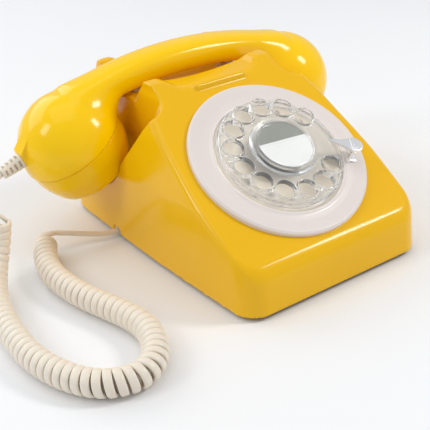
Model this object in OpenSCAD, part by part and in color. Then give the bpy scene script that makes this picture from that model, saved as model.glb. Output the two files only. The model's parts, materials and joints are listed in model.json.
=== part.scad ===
// Rotary desk telephone with a resting handset, a clear twelve-hole finger wheel and a curly cord.
// Origin: centre of the case's footprint, on the table. +X runs to the right, +Y to the back, +Z up.

/* [Case] */
// Depth of the case, front edge to back edge
case_d = 192; // [191:0.5:193]
// Width of the case at its widest, just above the base
case_w = 134; // [133:0.5:135]
// Wall thickness of the case
wall = 2.5; // [2:0.1:2.8]
// Height of the lower front edge of the sloping face
lip_z = 26.8; // [26:0.1:28]
// Slope of the dial face
face_tilt = 31.9; // [31:0.1:33]
// Height of the four horns that hold the handset
horn_z = 97.8; // [97:0.1:98.6]

/* [Dial] */
// Outer radius of the dial surround
bezel_r = 53.2; // [52:0.1:54]
// Radius of the finger wheel
wheel_r = 37.4; // [37:0.1:37.8]
// Number of finger holes
hole_count = 12; // [10:1:12]
// Radius of a finger hole
hole_r = 5.6; // [5:0.1:5.8]
// Radius of the circle that the finger holes lie on
hole_ring_r = 29.4; // [29:0.1:29.6]
// Angle between neighbouring finger holes
hole_step = 26; // [26:0.5:27]

/* [Handset] */
// Distance of each cup's centre from the middle
cup_x = 80; // [79:0.5:81]
// Radius of a cup's dome
cup_r = 32.3; // [31.5:0.1:32.6]
// Radius of the handle's arch
arch_r = 250; // [240:2:260]
// Height of the handle's centre line at the middle
arch_z = 97.8; // [97.6:0.1:98.6]
// Tilt of each cup towards the middle
cup_tilt = 30; // [26:1:31]

/* [Cord] */
// Outer radius of the coiled part of the cord
coil_r = 7.3; // [7:0.1:7.4]
// Radius of the plain part of the cord
lead_r = 2; // [1.8:0.1:2.2]

/* [Hidden] */
$fn = 64;
yellow = "#f2b705";
cream = "#e6dcc8";
steel = "#b8bcc0";
brass = "#c9a44a";

// The front edge, and the places measured back from it
front = -case_d / 2;
lip_y = front + 1.4;
skirt_z = 2.5;
case_z = 4;
horn_y = lip_y + (horn_z - lip_z) / tan(face_tilt);
handset_y = front + 151.5;

// The dial's centre on the sloping face
dial_run = 62;
dial_y = lip_y + dial_run * cos(face_tilt);
dial_z = lip_z + dial_run * sin(face_tilt);

// ---- helpers ----
function unit(v) = v / norm(v);
function left_of(v) = [-v.y, v.x];

// A counter-clockwise outline moved inwards by d
function inset(p, d) = [
  for (i = [0 : len(p) - 1])
    let (a = left_of(unit(p[i] - p[(i + len(p) - 1) % len(p)])),
         b = left_of(unit(p[(i + 1) % len(p)] - p[i])))
    p[i] + d * (a + b) / (1 + a * b)
];

// Points of an arc round c, from angle a to angle b in n steps
function arc(c, r, a, b, n) = [
  for (i = [0 : n])
    let (t = a + (b - a) * i / n)
    c + r * [cos(t), sin(t)]
];

// Smooth curve through hand-chosen points, n steps to each gap
function spline_point(p, q, r, s, t) = (2 * q + (r - p) * t + (2 * p - 5 * q + 4 * r - s) * t * t
                                        + (3 * q - p - 3 * r + s) * t * t * t) / 2;
function spline(p, n) = [
  for (i = [0 : len(p) - 2], k = [0 : n - 1])
    spline_point(p[max(i - 1, 0)], p[i], p[i + 1], p[min(i + 2, len(p) - 1)], k / n),
  p[len(p) - 1]
];
function tangents(p) = [for (i = [0 : len(p) - 1]) unit(p[min(i + 1, len(p) - 1)] - p[max(i - 1, 0)])];
function across(v, t) = unit(v - (v * t) * t);
function sides(t) = [for (i = 0, s = across([1, 0.3, 0.2], t[0]); i < len(t);
                          i = i + 1, s = i < len(t) ? across(s, t[i]) : s) s];

// A round tube of n sides along points
module tube(p, r, n) {
  t = tangents(p);
  s = sides(t);
  ring_points = [for (i = [0 : len(p) - 1], k = [0 : n - 1])
    p[i] + r * (cos(360 * k / n) * s[i] + sin(360 * k / n) * cross(t[i], s[i]))];
  walls = [for (i = [0 : len(p) - 2], k = [0 : n - 1])
    [i * n + k, i * n + (k + 1) % n, (i + 1) * n + (k + 1) % n, (i + 1) * n + k]];
  start_cap = [for (k = [0 : n - 1]) n - 1 - k];
  end_cap = [for (k = [0 : n - 1]) (len(p) - 1) * n + k];
  // Faces are wound clockwise from outside
  all_faces = concat(walls, [start_cap, end_cap]);
  polyhedron(ring_points, [for (f = all_faces) [for (k = [len(f) - 1 : -1 : 0]) f[k]]], convexity = 8);
}

module block(x, y, z) {
  translate([x[0], y[0], z[0]]) cube([x[1] - x[0], y[1] - y[0], z[1] - z[0]]);
}

// An outline drawn in (y, z), extruded from x[0] to x[1]
module along_x(p, x) {
  translate([x[0], 0, 0]) rotate([90, 0, 90]) linear_extrude(x[1] - x[0]) polygon(p);
}

// An outline drawn in (x, z), extruded from y[0] to y[1]
module along_y(p, y) {
  translate([0, y[1], 0]) rotate([90, 0, 0]) linear_extrude(y[1] - y[0]) polygon(p);
}

module both_sides() {
  children();
  mirror([1, 0, 0]) children();
}

// Places children on the sloping face, h above it, turned by a about the dial's axis
module on_dial(h = 0, a = 0) {
  translate([0, dial_y, dial_z]) rotate([face_tilt, 0, 0]) rotate([0, 0, a]) translate([0, 0, h]) children();
}

// ---- case outlines ----
trough_z = 83;
trough_half = 16.3;
horn_x = 43.2;

// Seen from the side, in (y, z)
side_outline = [
  [front, skirt_z], [-front, skirt_z], [-front - 0.6, 45], [-front - 9, 95],
  [handset_y + 31, horn_z], [handset_y + 24, horn_z], [handset_y + trough_half, trough_z],
  [handset_y - trough_half, trough_z], [horn_y + 9, horn_z], [horn_y, horn_z], [lip_y, lip_z]
];

// How far the side leans in, as (lean, z), up to the shoulder
side_lean = [[0, skirt_z], [3.4, 40], [4.2, 51], [5.1, 59], [6.8, 68], [8.4, 77], [10.8, 84], [12, 86]];

// Right half seen from the front, in (x, z): leaning side, shoulder, hollow flank of the horn
front_half = concat([for (p = side_lean) [case_w / 2 - p.x, p.y]],
                    [[50, 87.8], [46, 89.6], [43.8, 91.5], [42.8, 94.4], [horn_x, horn_z],
                     [horn_x, horn_z + 10]]);
function mirrored(p) = concat(p, [for (i = [len(p) - 1 : -1 : 0]) [-p[i].x, p[i].y]]);
front_outline = mirrored(front_half);

// Seen from above: slightly bowed sides and round corners
bow_r = 1800;
corner_r = 13;
side_y0 = front + corner_r;
side_y1 = -front - corner_r;
widest_y = front + 126;
function bowed_x(y) = case_w / 2 - pow(y - widest_y, 2) / (2 * bow_r);
plan_half = concat(
  arc([bowed_x(side_y0) - corner_r, front + corner_r], corner_r, 270, 360, 6),
  [for (k = [1 : 5]) let (y = side_y0 + (side_y1 - side_y0) * k / 6) [bowed_x(y), y]],
  arc([bowed_x(side_y1) - corner_r, -front - corner_r], corner_r, 0, 90, 6));
plan_outline = mirrored(plan_half);

// Hollow beside the horns where a cup of the handset hangs, in (y, z)
scallop_half = concat([[handset_y - 67, horn_z + 4]], arc([handset_y, 61], 30, 195, 270, 7));
scallop = concat(scallop_half, [for (i = [len(scallop_half) - 2 : -1 : 0]) [2 * handset_y - scallop_half[i].x,
                 scallop_half[i].y]]);
scallop_x = 43.5;

// Dip between the left and right horns, in (x, z)
dip_z = 92;
dip_half = concat([for (x = [0 : 7 : 28]) [x, dip_z + x * x / 330]], [[35, horn_z + 1], [35, horn_z + 12]]);
dip = concat(dip_half, [for (i = [len(dip_half) - 1 : -1 : 1]) [-dip_half[i].x, dip_half[i].y]]);

module case_solid(in) {
  difference() {
    intersection() {
      along_x(inset(side_outline, in), [-80, 80]);
      along_y(inset(front_outline, in), [-120, 120]);
      linear_extrude(130) polygon(inset(plan_outline, in));
    }
    both_sides() along_x(inset(scallop, -in), [scallop_x - in, 80]);
    along_y(inset(dip, -in), [horn_y - 24, 120]);
  }
}

boss_at = [[50, front + 22.5], [36, -front - 12.5]];
plunger_x = 33;
grommet_y = front + 132;

module case() {
  color(yellow) difference() {
    union() {
      difference() {
        case_solid(0);
        case_solid(wall);
        translate([0, 0, skirt_z - 1]) linear_extrude(wall + 2) polygon(inset(plan_outline, wall + 0.6));
      }
      intersection() {
        case_solid(1);
        for (p = boss_at) both_sides() translate([p.x, p.y, case_z]) cylinder(h = 100, r = 4);
      }
      finger_bar();
    }
    on_dial(-12) cylinder(h = 24, r = bezel_r - 7);
    both_sides() translate([plunger_x, handset_y, trough_z - 10]) cylinder(h = 20, r = 3.3);
    for (p = boss_at) both_sides() translate([p.x, p.y, case_z - 1]) cylinder(h = 13, r = 1.5);
    block([-80, -55], [grommet_y - 4, grommet_y + 4], [skirt_z - 1, 6.6]);
    translate([30, -front - 12, 10]) rotate([-90, 0, 0]) cylinder(h = 20, r = 5);
  }
}

// Raised finger grip moulded into the front edge of the cradle
module finger_bar() {
  bar = [-17, 15];
  bar_r = 2.6;
  translate([bar[0], horn_y - 8.6, dip_z]) rotate([0, 90, 0])
    cylinder(h = bar[1] - bar[0], r = bar_r, $fn = 32);
  for (x = bar) translate([x, horn_y - 8.6, dip_z]) sphere(r = bar_r, $fn = 32);
}

// ---- base ----
foot_at = [[32, front + 20.5], [48, -front - 25.5]];
foot_r = 9;
base_z = 1;

module base_plate() {
  color("#1c1c1e") difference() {
    translate([0, 0, base_z]) linear_extrude(case_z - base_z) polygon(inset(plan_outline, wall + 1.2));
    for (p = foot_at) both_sides() translate([p.x, p.y, 0]) cylinder(h = 2.5, r = foot_r);
    for (p = boss_at) both_sides() translate([p.x, p.y, 0]) {
      cylinder(h = 10, r = 1.7);
      cylinder(h = 2.6, r = 3.2);
    }
    block([-80, -50], [grommet_y - 4, grommet_y + 4], [2, 6]);
  }
}

module feet() {
  color("#2a2a2c") for (p = foot_at) both_sides() translate([p.x, p.y, 0]) {
    cylinder(h = 2.5, r = foot_r);
  }
}

module case_screws() {
  color(steel) for (p = boss_at) both_sides() translate([p.x, p.y, 1.2]) difference() {
    union() {
      cylinder(h = 1.4, r = 2.9);
      cylinder(h = 12, r = 1.45);
    }
    block([-3, 3], [-0.4, 0.4], [-1, 0.7]);
  }
}

// ---- dial, outside the case ----
bezel_in_r = 38.6;

module bezel() {
  color("#e8dfd6") on_dial() rotate_extrude($fn = 128) polygon([
    [bezel_in_r, -3], [bezel_r - 7.3, -3], [bezel_r - 7.3, 0], [bezel_r, 0], [bezel_r, 2.3],
    [bezel_r - 0.4, 3], [bezel_r - 1.2, 3.3], [44, 2.5], [41, 2.7], [39.6, 3.2], [bezel_in_r, 3.2]]);
}

module number_ring() {
  color("#d9cfc0") on_dial(-0.4) rotate_extrude($fn = 128) polygon([
    [8, 0], [38.5, 0], [38.5, 3], [37.6, 3], [37, 2.4], [8, 2.4]]);
}

function hole_angle(k) = 30 + hole_step * k;
wheel_top = 10;
wheel_z = wheel_top - 6.4;

module finger_wheel() {
  color([0.9, 0.93, 0.95, 0.45]) on_dial() difference() {
    union() {
      rotate_extrude($fn = 128) polygon([
        [0, wheel_z + 3.4], [wheel_r - 1.8, wheel_z + 3.4], [wheel_r - 1.8, wheel_z],
        [wheel_r - 0.2, wheel_z], [wheel_r, wheel_z + 0.6], [wheel_r, wheel_top - 4],
        [wheel_r - 1, wheel_top - 2.6], [wheel_r - 2.6, wheel_top - 0.6], [wheel_r - 4, wheel_top],
        [0, wheel_top]]);
      for (k = [0 : hole_count - 1]) rotate([0, 0, hole_angle(k)]) translate([hole_ring_r, 0, wheel_top - 2])
        cylinder(h = 2.7, r = hole_r + 1.1);
    }
    for (k = [0 : hole_count - 1]) rotate([0, 0, hole_angle(k)]) translate([hole_ring_r, 0, wheel_z - 1])
      cylinder(h = 12, r = hole_r);
    translate([0, 0, wheel_z - 1]) cylinder(h = 12, r = 3);
  }
}

label_r = 16.6;

module label_card() {
  color("#ddddd8") on_dial(wheel_top + 0.6) cylinder(h = 0.5, r = label_r, $fn = 128);
}

module label_cap() {
  color([0.95, 0.97, 0.98, 0.4]) on_dial(wheel_top + 1.1) rotate_extrude($fn = 128) polygon([
    [0, 0], [label_r, 0], [label_r, 1.6], [label_r - 0.8, 2.2], [label_r - 3, 2.5], [0, 2.5]]);
}

module label_ring() {
  color([0.9, 0.92, 0.93, 0.6]) on_dial(wheel_top) rotate_extrude($fn = 128) polygon([
    [0, 0], [20.2, 0], [20, 1.6], [19.2, 2.8], [18, 3.5], [17.2, 3.4], [label_r, 2.6], [label_r, 0.6],
    [0, 0.6]]);
}

stop_angle = -22;

// Foot on the surround, riser outside the wheel, and a pointed blade over the wheel
module finger_stop() {
  blade_z = wheel_top + 2.4;
  color("#f0f0f0") on_dial(0, stop_angle) difference() {
    union() {
      block([40.6, 47], [-4, 4], [2.9, 3.9]);
      block([40.6, 42.4], [-4, 4], [2.9, blade_z + 1.8]);
      translate([0, 0, blade_z]) linear_extrude(1.8)
        polygon(concat([[25, 5.5], [33, 0.2]], arc([42.5, 0], 5, -125, 90, 8), [[35, 4.2]]));
    }
    translate([45, 0, 2]) cylinder(h = 3, r = 1.2);
  }
}

// ---- dial mechanism, inside the case ----
spindle_r = 3;
gear_z = -12;
gear_h = 2.5;
gear_teeth = 60;
pinion_teeth = 12;
tooth_module = 0.8;
governor_gap = (gear_teeth + pinion_teeth) * tooth_module / 2;
governor_angle = 200;
post_angles = [60, 150, 300];
post_ring_r = 35;
screw_angles = [90, 210, 330];

module dial_frame() {
  color(steel) on_dial() difference() {
    union() {
      translate([0, 0, -5]) cylinder(h = 2, r = 45);
      for (a = post_angles) rotate([0, 0, a]) translate([post_ring_r, 0, -24]) cylinder(h = 20, r = 2.2);
    }
    translate([0, 0, -6]) cylinder(h = 4, r = spindle_r + 0.06);
    rotate([0, 0, governor_angle]) translate([governor_gap, 0, -6]) cylinder(h = 4, r = 1.25);
    for (a = screw_angles) rotate([0, 0, a]) translate([42, 0, -6]) cylinder(h = 4, r = 1.6);
  }
}

module dial_back_plate() {
  color(steel) on_dial(-25.5) difference() {
    cylinder(h = 1.5, r = 39);
    translate([0, 0, -1]) cylinder(h = 4, r = spindle_r + 0.06);
    rotate([0, 0, governor_angle]) translate([governor_gap, 0, -1]) cylinder(h = 4, r = 1.25);
  }
}

module dial_screws() {
  color(steel) on_dial() for (a = screw_angles) rotate([0, 0, a]) translate([42, 0, 0]) {
    translate([0, 0, -6.5]) cylinder(h = 1.5, r = 2.6);
    translate([0, 0, -6.5]) cylinder(h = 3.5, r = 1.5);
  }
}

module dial_spindle() {
  color(steel) on_dial(-26.5) union() {
    cylinder(h = 35.5, r = spindle_r - 0.02);
    translate([0, 0, 17]) cylinder(h = 1.5, r = 4.5);
  }
}

// Gear outline: straight-flanked teeth with room between them
tooth_half = [[-1.25, 0.85], [-0.1, 0.52], [0.9, 0.25], [0.9, -0.25], [-0.1, -0.52], [-1.25, -0.85]];
function tooth(a, pitch_r, m, w) = [
  for (p = tooth_half)
    let (t = a - w * p[1])
    (pitch_r + p[0] * m) * [cos(t), sin(t)]
];
function gear(n, m, share) = [for (k = [0 : n - 1]) each tooth(360 * k / n, n * m / 2, m, 360 * share / n)];

module main_gear() {
  color(brass) on_dial(gear_z) difference() {
    rotate([0, 0, governor_angle]) linear_extrude(gear_h) polygon(gear(gear_teeth, tooth_module, 0.38));
    for (a = [0 : 60 : 300]) rotate([0, 0, a]) translate([14.5, 0, -1]) cylinder(h = 5, r = 4.2);
    translate([0, 0, -1]) cylinder(h = 5, r = spindle_r);
  }
}

// Twelve shallow notches open the pulse contacts one after another
module pulse_cam() {
  color("#e8e0c8") on_dial(-16.5) difference() {
    union() {
      cylinder(h = 2, r = 11.5);
      cylinder(h = 4.5, r = 5.5);
    }
    for (k = [0 : hole_count - 1]) rotate([0, 0, hole_step * k])
      translate([12, 0, -1]) cylinder(h = 4, r = 1.6);
    translate([0, 0, -2]) cylinder(h = 8, r = spindle_r);
  }
}

// Contact springs in their insulating stack
module pulse_contacts() {
  color("#8a5a2b") on_dial(-24, 100) union() {
    block([18.6, 30], [-3.5, 3.5], [0, 9.4]);
    block([12.6, 20], [-1.8, -1.4], [6.6, 9.2]);
    block([12.6, 20], [0.6, 1], [6.6, 9.2]);
  }
}

function spiral(turns, steps, r0, pitch) = [for (i = [0 : turns * steps])
  let (a = 360 * i / steps) (r0 + pitch * i / steps) * [cos(a), sin(a)]];
spring_w = 0.5;

module dial_spring() {
  inner = spiral(6, 20, 4, 1.9);
  outer = spiral(6, 20, 4 + spring_w, 1.9);
  color("#9aa0a6") on_dial(-23.9) {
    linear_extrude(4) polygon(concat(inner, [for (i = [len(outer) - 1 : -1 : 0]) outer[i]]));
  }
}

module on_governor(h) {
  on_dial(h, governor_angle) translate([governor_gap, 0, 0]) children();
}

module governor_shaft() {
  color(brass) {
    on_governor(-26) cylinder(h = 22.6, r = 1.2);
    on_governor(gear_z - 0.3) rotate([0, 0, 180 / pinion_teeth]) difference() {
      linear_extrude(gear_h + 0.6) polygon(gear(pinion_teeth, tooth_module, 0.38));
      translate([0, 0, -1]) cylinder(h = 6, r = 0.8);
    }
  }
}

module governor_weights() {
  color(brass) on_governor(-17) difference() {
    union() {
      block([-6.4, 6.4], [-1, 1], [0, 2.4]);
      for (x = [-5.6, 5.6]) translate([x, 0, 0]) cylinder(h = 2.4, r = 1.8);
      cylinder(h = 2.4, r = 2.4);
    }
    translate([0, 0, -1]) cylinder(h = 5, r = 1.2);
  }
}

module governor_cup() {
  color(steel) on_governor(-24) difference() {
    cylinder(h = 10, r = 9.5);
    translate([0, 0, 1.5]) cylinder(h = 10, r = 8.6);
    translate([0, 0, -1]) cylinder(h = 5, r = 1.5);
  }
}

// ---- cradle switch ----
bar_z = 62;

module hook_plungers() {
  color("#202022") both_sides() translate([plunger_x, handset_y, bar_z]) {
    cylinder(h = trough_z - bar_z - 1, r = 3.22);
    translate([0, 0, trough_z - bar_z - 1]) sphere(r = 3.22, $fn = 48);
  }
}

module hook_bar() {
  color(steel) difference() {
    block([-38, 38], [handset_y - 4, handset_y + 4], [bar_z - 3, bar_z]);
    for (x = [-12, 12]) translate([x, handset_y, bar_z - 5]) cylinder(h = 8, r = 1.9);
  }
}

module hook_springs() {
  wire_r = 0.4;
  steps = 66;
  spring_path = [for (i = [0 : steps]) let (a = 30 * i) [4 * cos(a), 4 * sin(a), 0.6 + 7.2 * i / steps]];
  color("#9aa0a6") for (x = [-26, 26])
    translate([x, handset_y, bar_z - 11.4]) tube(spring_path, wire_r, 6);
}

module hook_bracket() {
  color(steel) difference() {
    union() {
      block([-38, 38], [handset_y - 8, handset_y + 8], [bar_z - 13, bar_z - 11.4]);
      for (x = [[-38, -36.4], [36.4, 38]]) {
        block(x, [handset_y - 8, handset_y - 5], [bar_z - 13, trough_z - wall]);
        block(x, [handset_y + 5, handset_y + 8], [bar_z - 13, trough_z - wall]);
      }
      for (x = [-12, 12]) translate([x, handset_y, bar_z - 12]) cylinder(h = 20, r = 1.8);
    }
    for (x = [-20, 20]) translate([x, handset_y, bar_z - 14]) cylinder(h = 4, r = 1.6);
  }
}

// Contact pile that the bar works
module hook_switch() {
  blade_z = bar_z - 24;
  color("#3a3a3c") union() {
    block([-7, 7], [handset_y + 1, handset_y + 7], [bar_z - 28, bar_z - 13]);
    for (x = [-6, -2, 2, 6])
      block([x - 0.7, x + 0.7], [handset_y - 7, handset_y + 2], [blade_z, blade_z + 0.5]);
  }
}

// ---- electrical parts on the base ----
board_z = 7;

module circuit_board() {
  board_y = [front + 14, front + 62];
  color("#2f6b3a") difference() {
    block([-42, 42], board_y, [board_z, board_z + 1.6]);
    for (x = [-38, 38], y = [board_y[0] + 4, board_y[1] - 4])
      translate([x, y, board_z - 1]) cylinder(h = 4, r = 1.6);
  }
  color("#2a2a2a") for (i = [0 : 4])
    translate([-24 + 12 * i, front + 26, board_z + 1.6]) cylinder(h = 5, r = 2.5);
  color("#c04030") for (i = [0 : 3])
    block([-22 + 14 * i, -14 + 14 * i], [front + 44, front + 47], [board_z + 1.6, board_z + 4]);
}

// Spacer and screw at each corner of the board
module board_screws() {
  color(steel) for (x = [-38, 38], y = [front + 18, front + 58]) translate([x, y, case_z]) {
    cylinder(h = board_z - case_z, r = 2.8);
    cylinder(h = board_z - case_z + 2, r = 1.5);
    translate([0, 0, board_z - case_z + 1.6]) cylinder(h = 1.4, r = 2.6);
  }
}

module induction_coil() {
  y = front + 80;
  color("#6b4a2a") union() {
    block([-42, -20], [y - 9, y + 9], [case_z, case_z + 4]);
    block([-42, -20], [y - 9, y + 9], [case_z + 14, case_z + 18]);
    block([-42, -39], [y - 9, y + 9], [case_z, case_z + 18]);
    block([-23, -20], [y - 9, y + 9], [case_z, case_z + 18]);
    translate([-40, y, case_z + 9]) rotate([0, 90, 0]) cylinder(h = 18, r = 4.4);
  }
}

module capacitor() {
  color("#c8c8cc") translate([14, front + 80, case_z + 8]) rotate([0, 90, 0]) cylinder(h = 32, r = 8);
}

module terminal_block() {
  y = -front - 18.5;
  color("#222224") difference() {
    block([-22, 22], [y, y + 10], [case_z, case_z + 9]);
    for (i = [0 : 4]) translate([-16 + 8 * i, y + 5, case_z + 5]) cylinder(h = 6, r = 1.6);
  }
}

// ---- ringer ----
pivot_y = front + 120;
gong_y = pivot_y + 30;
coil_x = 11;
ring_z = 15;

module ringer_bracket() {
  color(steel) union() {
    difference() {
      block([-22, 22], [pivot_y - 30, pivot_y + 6], [case_z, case_z + 1.6]);
      for (x = [-18, 18]) translate([x, pivot_y - 2, case_z - 1]) cylinder(h = 4, r = 1.6);
    }
    translate([0, pivot_y, case_z + 1]) cylinder(h = 19, r = 1.2);
  }
}

module ringer_yoke() {
  color("#8d9196") union() {
    block([-20, 20], [pivot_y - 29, pivot_y - 27], [case_z + 1.6, 24]);
    for (x = [-coil_x, coil_x])
      translate([x, pivot_y - 27.5, ring_z]) rotate([-90, 0, 0]) cylinder(h = 23.5, r = 2.5);
  }
}

module ringer_coils() {
  color("#a8482a") for (x = [-coil_x, coil_x])
    translate([x, pivot_y - 26.5, ring_z]) rotate([-90, 0, 0]) difference() {
      union() {
        cylinder(h = 1.2, r = 9);
        cylinder(h = 20, r = 7.6);
        translate([0, 0, 18.8]) cylinder(h = 1.2, r = 9);
      }
      translate([0, 0, -1]) cylinder(h = 24, r = 2.5);
    }
}

// Armature, rod and ball, turning about the upright pin
module clapper() {
  color(steel) union() {
    difference() {
      union() {
        block([-15, 15], [pivot_y - 2, pivot_y - 0.6], [ring_z - 5, ring_z + 5]);
        translate([0, pivot_y, ring_z - 5]) cylinder(h = 10, r = 2.6);
      }
      translate([0, pivot_y, ring_z - 8]) cylinder(h = 16, r = 1.25);
    }
    translate([0, pivot_y + 2, ring_z]) rotate([-90, 0, 0]) cylinder(h = 28, r = 0.8);
    translate([0, gong_y, ring_z]) sphere(r = 2.2, $fn = 32);
  }
}

gong_x = 27;
gong_r = 22.6;

module gongs() {
  section = concat([[2, 13], [8, 13]], arc([8, -0.6], 13.6, 90, 24, 6), [[gong_r, 0], [gong_r - 1.4, 0]],
                   arc([8, -0.6], 12.2, 24, 90, 6), [[2, 11.6]]);
  color("#b9b4a6") for (x = [-gong_x, gong_x])
    translate([x, gong_y, 12]) rotate_extrude($fn = 96) polygon(section);
}

module gong_posts() {
  color(steel) for (x = [-gong_x, gong_x]) translate([x, gong_y, case_z]) difference() {
    cylinder(h = 19.6, r = 4);
    translate([0, 0, 8]) cylinder(h = 20, r = 1.6);
  }
}

module gong_screws() {
  color(brass) for (x = [-gong_x, gong_x]) translate([x, gong_y, 14]) difference() {
    union() {
      cylinder(h = 12, r = 1.55);
      translate([0, 0, 11]) cylinder(h = 2.4, r = 4);
    }
    block([-5, 5], [-0.5, 0.5], [12.6, 15]);
  }
}

// ---- cord outlets ----
module line_cord_gland() {
  color("#d8cdb8") translate([30, -front - 7.8, 10]) rotate([-90, 0, 0]) difference() {
    union() {
      cylinder(h = 9, r = 4.9);
      cylinder(h = 3.9, r = 5.8);
      translate([0, 0, 8]) cylinder(h = 1, r = 6.4);
    }
    translate([0, 0, -1]) cylinder(h = 12, r = 3);
  }
}

grommet_x = -65.8;

module handset_cord_grommet() {
  color(cream) difference() {
    block([grommet_x, -57], [grommet_y - 3.9, grommet_y + 3.9], [2, 6.5]);
    translate([-56, grommet_y, 4.2]) rotate([0, -90, 0]) cylinder(h = 6, r = 1.9);
  }
}

// ---- handset ----
arch_angle = 2 * asin((cup_x + 3) / arch_r);
handle_a = 13.5;
handle_b = 9.2;
cup_z = 61.8;
seam = 0.5;
cap_depth = 24.4;
shell = 2.6;

// Handle section, (radial, across), shrunk by s
function handle_section(s) = [
  for (k = [0 : 23]) [(handle_b - s) * cos(15 * k), (handle_a - s) * sin(15 * k)]
];

module handle(s) {
  translate([0, handset_y, arch_z - arch_r]) rotate([90, 0, 0]) rotate([0, 0, 90 - arch_angle / 2])
    rotate_extrude(angle = arch_angle, $fn = 180) translate([arch_r, 0]) polygon(handle_section(s));
}

// Places children in a cup: origin at the dome's centre, -Z out of its face; side is -1 for the mouth end
module in_cup(side) {
  translate([side * cup_x, handset_y, cup_z]) rotate([0, side * cup_tilt, 0]) children();
}

module dome(r) {
  intersection() {
    sphere(r = r, $fn = 96);
    translate([0, 0, seam]) cylinder(h = 2 * r, r = 2 * r);
  }
}

module handset_body() {
  color(yellow) difference() {
    union() {
      handle(0);
      for (s = [-1, 1]) in_cup(s) dome(cup_r);
      cord_boss();
    }
    handle(shell);
    for (s = [-1, 1]) in_cup(s) {
      dome(cup_r - shell);
      translate([0, 0, seam - 1]) cylinder(h = 3, r = cup_r - shell);
    }
  }
}

relief_start = [-112.9, handset_y, 60.2];
relief_tilt = 20;

// Wedge on the outer side of the mouth cup, drawn in (up, out), square to the strain relief
module cord_boss() {
  translate(relief_start) rotate([0, -90 - relief_tilt, 0]) rotate([90, 0, 0])
    linear_extrude(11, center = true) polygon([[-5.6, -9], [-5.6, 0.4], [5.7, 0.4], [13, -9.6]]);
}

cap_profile = [[cup_r - 0.5, 0], [cup_r - 1, -10.2], [cup_r - 4, -19.5], [cup_r - 6, -23.2],
               [cup_r - 9, -cap_depth]];

// Screw cap: collar, tapered wall and perforated face
module cup_cap() {
  rotate_extrude($fn = 96) polygon(concat(
    [[24, 1.8], [cup_r - shell - 0.2, 1.8], [cup_r - shell - 0.2, 0]], cap_profile,
    [[0, -cap_depth], [0, 2 - cap_depth], [cup_r - 9.5, 2 - cap_depth], [cup_r - 7, -19]]));
}

module face_holes(rings) {
  cylinder(h = 8, r = 1.3, center = true);
  for (k = [1 : rings], i = [0 : 6 * k - 1]) rotate([0, 0, 60 * i / k]) translate([5 * k, 0, 0]) {
    cylinder(h = 8, r = 1.3, center = true);
  }
}

module mouth_cap() {
  color(yellow) in_cup(-1) translate([0, 0, seam]) difference() {
    cup_cap();
    translate([0, 0, -cap_depth]) face_holes(2);
  }
}

module ear_cap() {
  color(yellow) in_cup(1) translate([0, 0, seam]) difference() {
    cup_cap();
    translate([0, 0, -cap_depth]) face_holes(1);
  }
}

module receiver_capsule() {
  color("#b0b0b4") in_cup(1) translate([0, 0, seam - cap_depth + 5]) rotate_extrude($fn = 96) polygon([
    [0, 0], [18, 0], [21, 2], [21, 8], [16, 8], [14, 12], [0, 12]]);
}

module transmitter_capsule() {
  color("#8f8f93") in_cup(-1) translate([0, 0, seam - cap_depth + 5]) rotate_extrude($fn = 96) polygon([
    [0, 0], [18, 0], [21, 2], [21, 9], [10, 10], [10, 13], [0, 13]]);
}

relief_len = 14;

// Ribbed sleeve that tapers along the cord
module strain_relief() {
  rib_r = [for (k = [0 : 4]) 4.8 - 0.25 * k];
  color(cream) translate(relief_start) rotate([0, -90 - relief_tilt, 0]) translate([0, 0, 0.4]) difference() {
    union() {
      cylinder(h = relief_len, r = 2.9);
      for (k = [0 : 4]) translate([0, 0, 3.1 * k]) cylinder(h = 1.6, r = rib_r[k]);
    }
    translate([0, 0, 1]) cylinder(h = relief_len, r = 1.8);
  }
}

// ---- cord ----
coil_route = [
  [-111, 45, 7.6], [-117, 33, 7.6], [-122, 18, 7.6], [-123.5, 2, 7.6], [-121, -20, 7.6], [-116, -38, 7.6],
  [-111, -56, 7.6], [-110, -72, 7.6], [-115, -87, 7.6], [-123, -97, 7.6], [-133, -101, 7.6],
  [-145, -98, 7.6], [-154, -90, 7.6], [-161, -77, 7.6], [-165.5, -60, 7.6], [-166.5, -42, 7.6],
  [-165, -22, 7.6], [-161, 0, 7.6], [-156.5, 14, 9.4], [-151, 25, 14], [-146, 31, 21],
  [-142.5, 34, 29], [-140, 35, 39]];
lead_route = [[-66, 36, 4.2], [-74, 36.5, 4.6], [-84, 39, 6.8], [-94, 42.5, 9.6], [-103, 45, 12],
              [-110.5, 46, 13.2]];
tail_route = [[-126.9, 55.5, 55.1], [-134, 54.5, 52.2], [-139.8, 50, 49], [-142, 43.5, 45.6],
              [-141, 37.5, 42.2], [-140, 35, 39.4]];

module cord_lead() {
  color(cream) tube(spline(lead_route, 2), lead_r, 8);
}

module cord_coil() {
  color(cream) tube(spline(coil_route, 2), coil_r, 12);
}

module cord_tail() {
  color(cream) tube(spline(tail_route, 2), lead_r, 8);
}

case();
base_plate();
feet();
case_screws();
bezel();
number_ring();
finger_wheel();
label_card();
label_cap();
label_ring();
finger_stop();
dial_frame();
dial_back_plate();
dial_screws();
dial_spindle();
main_gear();
pulse_cam();
pulse_contacts();
dial_spring();
governor_shaft();
governor_weights();
governor_cup();
hook_plungers();
hook_bar();
hook_springs();
hook_bracket();
hook_switch();
circuit_board();
board_screws();
induction_coil();
capacitor();
terminal_block();
ringer_bracket();
ringer_yoke();
ringer_coils();
clapper();
gongs();
gong_posts();
gong_screws();
line_cord_gland();
handset_cord_grommet();
handset_body();
ear_cap();
mouth_cap();
receiver_capsule();
transmitter_capsule();
strain_relief();
cord_lead();
cord_coil();
cord_tail();
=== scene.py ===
import json
import math

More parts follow.
